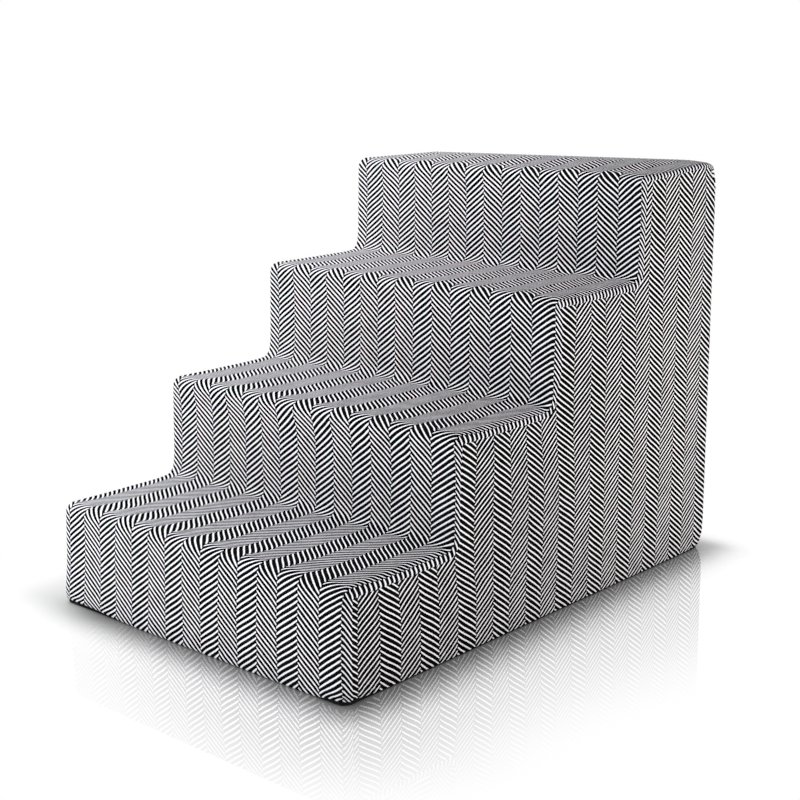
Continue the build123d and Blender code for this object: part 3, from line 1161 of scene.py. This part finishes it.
def floor_material():
    """White glossy table top, whose mirror image of the stairs fades away from them."""
    n = Nodes(bpy.data.materials.new("floor"))
    x, y, _ = n.parts(n.value("ShaderNodeNewGeometry", "Position"))
    aside = (n.math("ABSOLUTE", x) - half_width) * n.between(x, *left_stretch)
    along = (n.math("ABSOLUTE", y) - back) * n.between(y, *back_stretch)
    outside = n.value("ShaderNodeCombineXYZ", 0, {"X": aside, "Y": along})
    outside = n.value("ShaderNodeVectorMath", 0, {0: outside, 1: (0, 0, 0)}, operation="MAXIMUM")
    distance = n.value("ShaderNodeVectorMath", "Value", {0: outside}, operation="LENGTH")
    from_front_left = x + y + back
    ends = n.between(x, *shadow_left) * n.between(y, *shadow_back)
    shadow = n.between(distance, *shadow_ramp) * ends * n.between(from_front_left, *shadow_corner)
    colour = n.mix(shadow, (0.93, 0.93, 0.93, 1), (0, 0, 0, 1))
    matt = n.value("ShaderNodeBsdfDiffuse", 0, {"Color": colour})
    bright = n.value("ShaderNodeEmission", 0, {"Color": (1, 1, 1, 1), "Strength": 1.0})
    far = n.between(distance, *bright_ramp) * light_ray(n)
    ground = n.value("ShaderNodeMixShader", 0, {0: far, 1: matt, 2: bright})
    # Painted shade: the mirror image is darkened near the stairs and brightened a little beyond them
    painted_light_tint = n.mix(n.between(distance, *mirror_shade_ramp), (0.5, 0.5, 0.5, 1), (1.1, 1.1, 1.1, 1))
    gloss = n.value("ShaderNodeBsdfGlossy", 0, {"Color": painted_light_tint, "Roughness": 0.0})
    share = n.between(distance * n.between(y, *mirror_stretch), *mirror_ramp)
    share = share * n.between(from_front_left, *mirror_corner)
    return n.finish(n.value("ShaderNodeMixShader", 0, {0: share, 1: ground, 2: gloss}))


def build_floor():
    """The pale floor that the stairs stand on."""
    half = floor_size / 2
    corners = [(-half, -half, 0), (half, -half, 0), (half, half, 0), (-half, half, 0)]
    mesh = bpy.data.meshes.new("floor")
    mesh.from_pydata(corners, [], [(0, 1, 2, 3)])
    mesh.materials.append(floor_material())
    floor = new_object("floor", mesh)


def build_world():
    """White surroundings that light the stairs evenly."""
    n = Nodes(bpy.data.worlds.new("studio"))
    strength = n.between(light_ray(n), 0.0, 1.0, world_light, 1.0)
    background = n.value("ShaderNodeBackground", 0, {"Color": (1, 1, 1, 1), "Strength": strength})
    bpy.context.scene.world = n.finish(background, "ShaderNodeOutputWorld")


def build_lamps():
    """Large soft lamps in front, at the side and above."""
    for name, place, size, power, colour in lamps:
        data = bpy.data.lights.new(name, "AREA")
        data.shape = "DISK"
        data.size = size
        data.energy = power
        data.color = colour
        lamp = new_object(name, data)
        lamp.location = place
        lamp.rotation_mode = "QUATERNION"
        aim = Vector((0, 0, height / 2)) - Vector(place)
        lamp.rotation_quaternion = aim.to_track_quat("-Z", "Y")


bpy.context.scene.view_settings.view_transform = "Standard"
place_camera()
build_world()
build_lamps()
build_floor()
# Two copies of one cloth. The front copy is painted darker towards the right and the sides lighter
# towards the back, as painted light and shade. The sides have less white, partly for their narrower
# white stripes and partly as painted shade. Each copy has a painted tint of the light on it.
front_cloth = herringbone_cloth("herringbone", 0.418, -0.15, (1.0, 0.987, 1.045))
side_cloth = herringbone_cloth("herringbone_sides", 0.285, 0.085, (1.01, 0.985, 1.0))
cover(front_cloth, side_cloth)
base(plain_weave(
    "base_cloth", (0.0015, 0.0015, 0.002, 1), (0.007, 0.007, 0.008, 1), (0.8 * mm, 0.8 * mm), 0.9))
grip_dots(grip_rubber())
foam(foam_material())
black_tape = plain_weave(
    "zip_tape", (0.006, 0.006, 0.007, 1), (0.030, 0.030, 0.033, 1), (0.9 * mm, 0.45 * mm), 0.8, 1.0)
black_nylon = nylon("coil_nylon", (0.006, 0.006, 0.007, 1), (0.016, 0.016, 0.018, 1), 0.36)
for side, half in ((1, "upper"), (-1, "lower")):
    tape(f"zipper_tape_{half}", black_tape)
    coil(f"zipper_coil_{half}", side, black_nylon)
stitching(nylon("thread", (0.005, 0.005, 0.006, 1), (0.022, 0.022, 0.024, 1), 0.6))
nickel = plated_metal("nickel_plate", (0.50, 0.48, 0.45, 1), (0.66, 0.64, 0.60, 1), 0.24, 0.40)
aluminium = plated_metal("stop_aluminium", (0.60, 0.60, 0.61, 1), (0.72, 0.72, 0.73, 1), 0.34, 0.5)
for node, metal, bevel in (
    ("slider_body", nickel, 0.35 * mm),
    ("pull_tab", nickel, 0.4 * mm),
    ("zipper_top_stops", aluminium, 0.3 * mm),
    ("zipper_bottom_stop", aluminium, 0.3 * mm),
):
    metal_node(node, metal, bevel)
